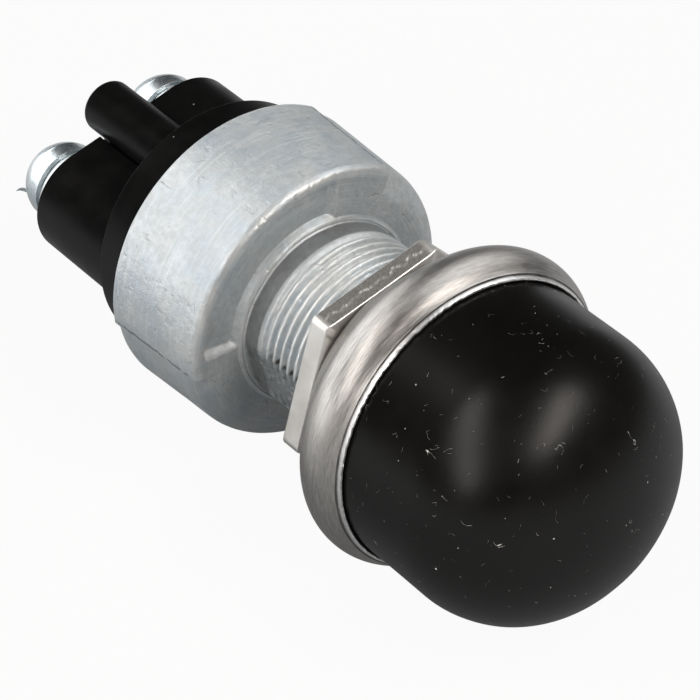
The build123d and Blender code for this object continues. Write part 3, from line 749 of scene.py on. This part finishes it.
# ---------------------------------------------------------------- rubber boot
def boot_ring_section(turn):
    """The boot's section: bead, straight side, corner arc and crown, outside then inside."""
    a = radians(turn)
    corner, crown = (3.55, 28.9), (0.0, 23.6)
    outside = arc(corner, 10.4, 0, 56.18, 22) + arc(crown, 16.8, 56.18, 90, 16)[1:]
    inside = arc(corner, 9.0, 0, 56.18, 14) + arc(crown, 15.4, 56.18, 90, 10)[1:]
    ring = [(12.25, 17.0), (14.1, 17.0), (14.2, 17.1), (14.2, 18.9), (14.1, 19.05)]
    ring += line((13.95, 19.25), (13.95, 28.9), 16) + outside
    ring += inside[::-1] + line((12.55, 28.4), (12.55, 19.0), 8) + [(12.25, 18.4)]
    section = []
    for r, z in ring:
        bulge = 0.03 * ripple(r * cos(a) * 0.25, r * sin(a) * 0.25, z * 0.2) * min(1.0, r / 4)
        section.append((max(0.0, r + bulge * step(z, 21.5, 25)), z))
    return section


boot = lathe("rubber_boot_skin", boot_ring_section, even(160), "boot_rubber")
settle(boot, "boot_unit", "boot_rubber", "rubber_boot")
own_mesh(boot)


# ---------------------------------------------------------------- hexagon nut
def nut_ring(turn):
    """The stamped hexagon's section, with every other flat torn, and the collar it swivels on."""
    side = int(turn // 60)
    lean = turn % 60 - 30
    across = min(10.8 / cos(radians(lean)), 12.33 + 0.02 * abs(lean) / 30)
    torn = side % 2 * (1 - step(abs(lean), 27, 29.5))
    along = 10.8 * sin(radians(lean)) / cos(radians(lean))
    # the rear and front edges of the flats are painted bright: painted highlights along their bevels
    ring = [(9.05, 10.15, 0.0, 0.0), (9.35, 9.8, 0.2, 0.0), (10.2, 9.8, 0.0, 0.0)]
    ring += [(across - 0.2, 9.8, 0.0, 0.0), (across - 0.07, 9.82, 0.9, 0.0)]
    breaks = 10.9 + 0.5 * ripple(along * 1.1, side * 3.0) + 0.15 * ripple(along * 5, side * 5.0)
    for i in range(19):
        z = 9.9 + 1.9 * i / 18
        past = step(z, breaks - 0.06, breaks + 0.06)
        rough = 0.05 * ripple(along * 5, z * 6, side * 7.0)
        dig = torn * (0.05 + 0.10 * past + rough + 0.03 * ripple(along * 14, z * 14, 2.0))
        edge = torn * peak(z, breaks - 0.05, 0.12) * step(ripple(along * 2.5, side, 8.0), -0.1, 0.3)
        ring.append((across - max(0.0, dig), z, edge, torn))
    ring += [(across - 0.02 - 0.1 * torn, 11.84, 1.0, 0.0), (across - 0.1 - 0.08 * torn, 11.9, 0.7, 0.0)]
    ring += [(10.6, 11.9, 0.0, 0.0)]
    collar = [(9.95, 11.9), (9.95, 13.05), (10.4, 13.05), (10.4, 13.65), (9.2, 13.65), (9.05, 13.5)]
    return ring + [(r, z, 0.0, 0.0) for r, z in collar]


side_turns = [i * 0.75 for i in range(80)] + [0.2, 0.45, 59.55, 59.8]
nut_turns = {round(60 * k + t, 3) for k in range(6) for t in side_turns}
nut = lathe("hex_nut_skin", nut_ring, sorted(nut_turns), "nickel_nut")
settle(nut, "nut", "nickel_nut", "hex_nut")


# ---------------------------------------------------------------- pieces with eased edges
eased("terminal_base", "housing", "phenolic", 0.18, 3)
for side in ("left", "right"):
    eased(f"terminal_screw_{side}", f"screw_{side}", "screw_zinc", 0.12)
    eased(f"clamp_washer_{side}", f"clamp_{side}", "plated_steel", 0.08)
    eased(f"lock_washer_{side}", f"clamp_{side}", "plated_steel", 0.08)

# each spring, the body that holds it, which end that body holds (0 the lower, 1 the upper) and how much
# shorter it could get; the springs are copied as they stand and do not shorten
springs = (("return_spring", "housing", 0, 3.5), ("contact_spring", "plunger", 1, 1.4))
for node, body, held, shorter in springs:
    spring = copied(node, "spring_wire")
    settle(spring, body, "spring_wire", node)
    ends = [corner[2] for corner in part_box(node)]
    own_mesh(spring)

# a curled chip of plate left on the left screw's rim
chip = bmesh.new()
spine = [(-9.75, 0.9, -34.2), (-9.95, 0.97, -34.42), (-10.2, 1.03, -34.56), (-10.5, 1.06, -34.52)]
rails = []
for i, spot in enumerate(spine):
    wide = 0.32 * (1 - i / 3.4)
    corners = ((0, wide, wide), (0, -wide, wide * 0.6), (0.12, 0, -wide * 0.6))
    rails.append([chip.verts.new([(c + d) * MM for c, d in zip(spot, corner)]) for corner in corners])
for low, high in zip(rails, rails[1:]):
    for i in range(3):
        chip.faces.new((low[i], low[(i + 1) % 3], high[(i + 1) % 3], high[i]))
chip.faces.new(rails[0])
chip.faces.new(rails[-1][::-1])
bmesh.ops.recalc_face_normals(chip, faces=chip.faces[:])
settle(as_piece("screw_chip", chip, "screw_zinc"), "screw_left", "screw_zinc")

# every node that still shows takes its slot's finish
slots = {part["node"]: part["material_slot"] for part in frame["record"]["subparts"]}
for node, piece in frame["nodes"].items():
    for holder in piece.material_slots:
        holder.material = FINISH[slots[node]]


# ---------------------------------------------------------------- studio
CAMERA_AT = Vector((-0.1025, 0.22152, 0.2015))
RIGHT = Vector((0.76611, -0.19235, 0.61325))
UP = Vector((0.55549, 0.67810, -0.48126))
BACK = Vector((-0.32327, 0.70935, 0.62635))


def studio_turn(right, up, back):
    """A direction given in the camera's terms."""
    return (RIGHT * right + UP * up + BACK * back).normalized()


camera = bpy.data.objects.new("camera", bpy.data.cameras.new("camera"))
camera.data.sensor_width = 36
camera.data.lens = 180
camera.data.clip_start, camera.data.clip_end = 0.01, 20
axes = Matrix((RIGHT, UP, BACK)).transposed().to_4x4()
axes.translation = CAMERA_AT
camera.matrix_world = axes
scene.collection.objects.link(camera)
scene.camera = camera


def softbox(name, toward, distance, width, height, power, tilt=0.0, only=None, warm=0.0):
    """A rectangular soft light that faces the object, its long side up the camera's view.

    It lights every piece, or only the pieces of one collection.
    """
    lamp = bpy.data.lights.new(name, "AREA")
    lamp.shape, lamp.size, lamp.size_y, lamp.energy = "RECTANGLE", width, height, power
    lamp.color = grey(1.0, warm)[:3]
    rig = bpy.data.objects.new(name, lamp)
    back = studio_turn(*toward)
    across = UP.cross(back).normalized()
    across = Matrix.Rotation(radians(tilt), 3, back) @ across
    stand = Matrix((across, back.cross(across), back)).transposed().to_4x4()
    stand.translation = back * distance
    rig.matrix_world = stand
    rig.light_linking.receiver_collection = only
    scene.collection.objects.link(rig)


bright_metal = bpy.data.collections.new("bright_metal")
for piece in scene.objects:
    if piece.type == "MESH" and piece.material_slots and piece.material_slots[0].material in METALS:
        bright_metal.objects.link(piece)

softbox("left_box", (-0.60, 0.26, 0.74), 0.65, 0.19, 0.90, 2.35, 15, warm=0.04)
softbox("right_box", (0.50, 0.34, 0.80), 0.65, 0.15, 0.58, 2.2, -28, warm=0.06)
softbox("top_fill", (0.35, 0.92, 0.18), 0.6, 0.7, 0.45, 1.6, only=bright_metal)
softbox("low_fill", (-0.78, -0.58, 0.12), 0.6, 0.5, 0.9, 4.6, only=bright_metal)
softbox("front_fill", (0.70, -0.60, 0.15), 0.6, 0.6, 0.4, 1.8, only=bright_metal)
softbox("rear_fill", (-0.88, 0.42, -0.22), 0.5, 0.6, 0.8, 2.8, only=bright_metal)

# the floor lies under the object as it rests on its side, and is seen from its upper face only
FLOOR_DROP = 0.0161     # from the object's axis, in metres
FLOOR_UP = Vector((0.2436, 0.9699, 0.0)).normalized()
floor_maker = bmesh.new()
bmesh.ops.create_grid(floor_maker, x_segments=8, y_segments=8, size=1.5)
floor_mesh = bpy.data.meshes.new("floor")
floor_maker.to_mesh(floor_mesh)
floor_maker.free()
floor = bpy.data.objects.new("floor", floor_mesh)
side = Vector((0, 0, 1))
lay = Matrix((side, FLOOR_UP.cross(side), FLOOR_UP)).transposed().to_4x4()
lay.translation = FLOOR_UP * -FLOOR_DROP
floor.matrix_world = lay
scene.collection.objects.link(floor)

pale = bpy.data.materials.new("floor_paper")
pale.use_nodes = True
tree = pale.node_tree
paper = tree.nodes["Principled BSDF"]
paper.inputs["Base Color"].default_value = grey(0.8)
paper.inputs["Roughness"].default_value = 0.9
glow = put(tree, "ShaderNodeEmission", {"Color": grey(1.0), "Strength": 1.0})
lit = put(tree, "ShaderNodeMixShader", {0: 0.94, 1: paper.outputs[0], 2: glow})
# reflections see it as a glow with a painted shadow: dark close to the object and bright further off
away = put(tree, "ShaderNodeVectorMath", {0: place(tree)}, out="Value", operation="LENGTH")
strength = ease(tree, away, 0.0, 0.09, 0.12, 0.6)
bounce_with_painted_shadow = put(tree, "ShaderNodeEmission", {"Color": grey(1.0), "Strength": strength})
seen = put(tree, "ShaderNodeLightPath", out="Is Camera Ray")
front = put(tree, "ShaderNodeMixShader", {0: seen, 1: bounce_with_painted_shadow, 2: lit})
clear = put(tree, "ShaderNodeBsdfTransparent")
behind = put(tree, "ShaderNodeNewGeometry", out="Backfacing")
both = put(tree, "ShaderNodeMixShader", {0: behind, 1: front, 2: clear})
tree.links.new(both, tree.nodes["Material Output"].inputs["Surface"])
floor_mesh.materials.append(pale)

world = bpy.data.worlds.new("studio")
world.use_nodes = True
scene.world = world
tree = world.node_tree
room = tree.nodes["Background"]
direction = put(tree, "ShaderNodeTexCoord", out="Generated")
# a dim room in front of the object and a bright white one behind it
ends = {0: direction, 1: tuple(-BACK)}
away = put(tree, "ShaderNodeVectorMath", ends, out="Value", operation="DOT_PRODUCT")
tree.links.new(ease(tree, away, -0.55, 0.45, 0.07, 0.9), room.inputs["Strength"])
backdrop = put(tree, "ShaderNodeBackground", {"Color": grey(1.0), "Strength": 1.0})
ray = put(tree, "ShaderNodeLightPath", out="Is Camera Ray")
shown = put(tree, "ShaderNodeMixShader", {0: ray, 1: room.outputs[0], 2: backdrop})
tree.links.new(shown, tree.nodes["World Output"].inputs["Surface"])
scene.view_settings.view_transform = "Standard"
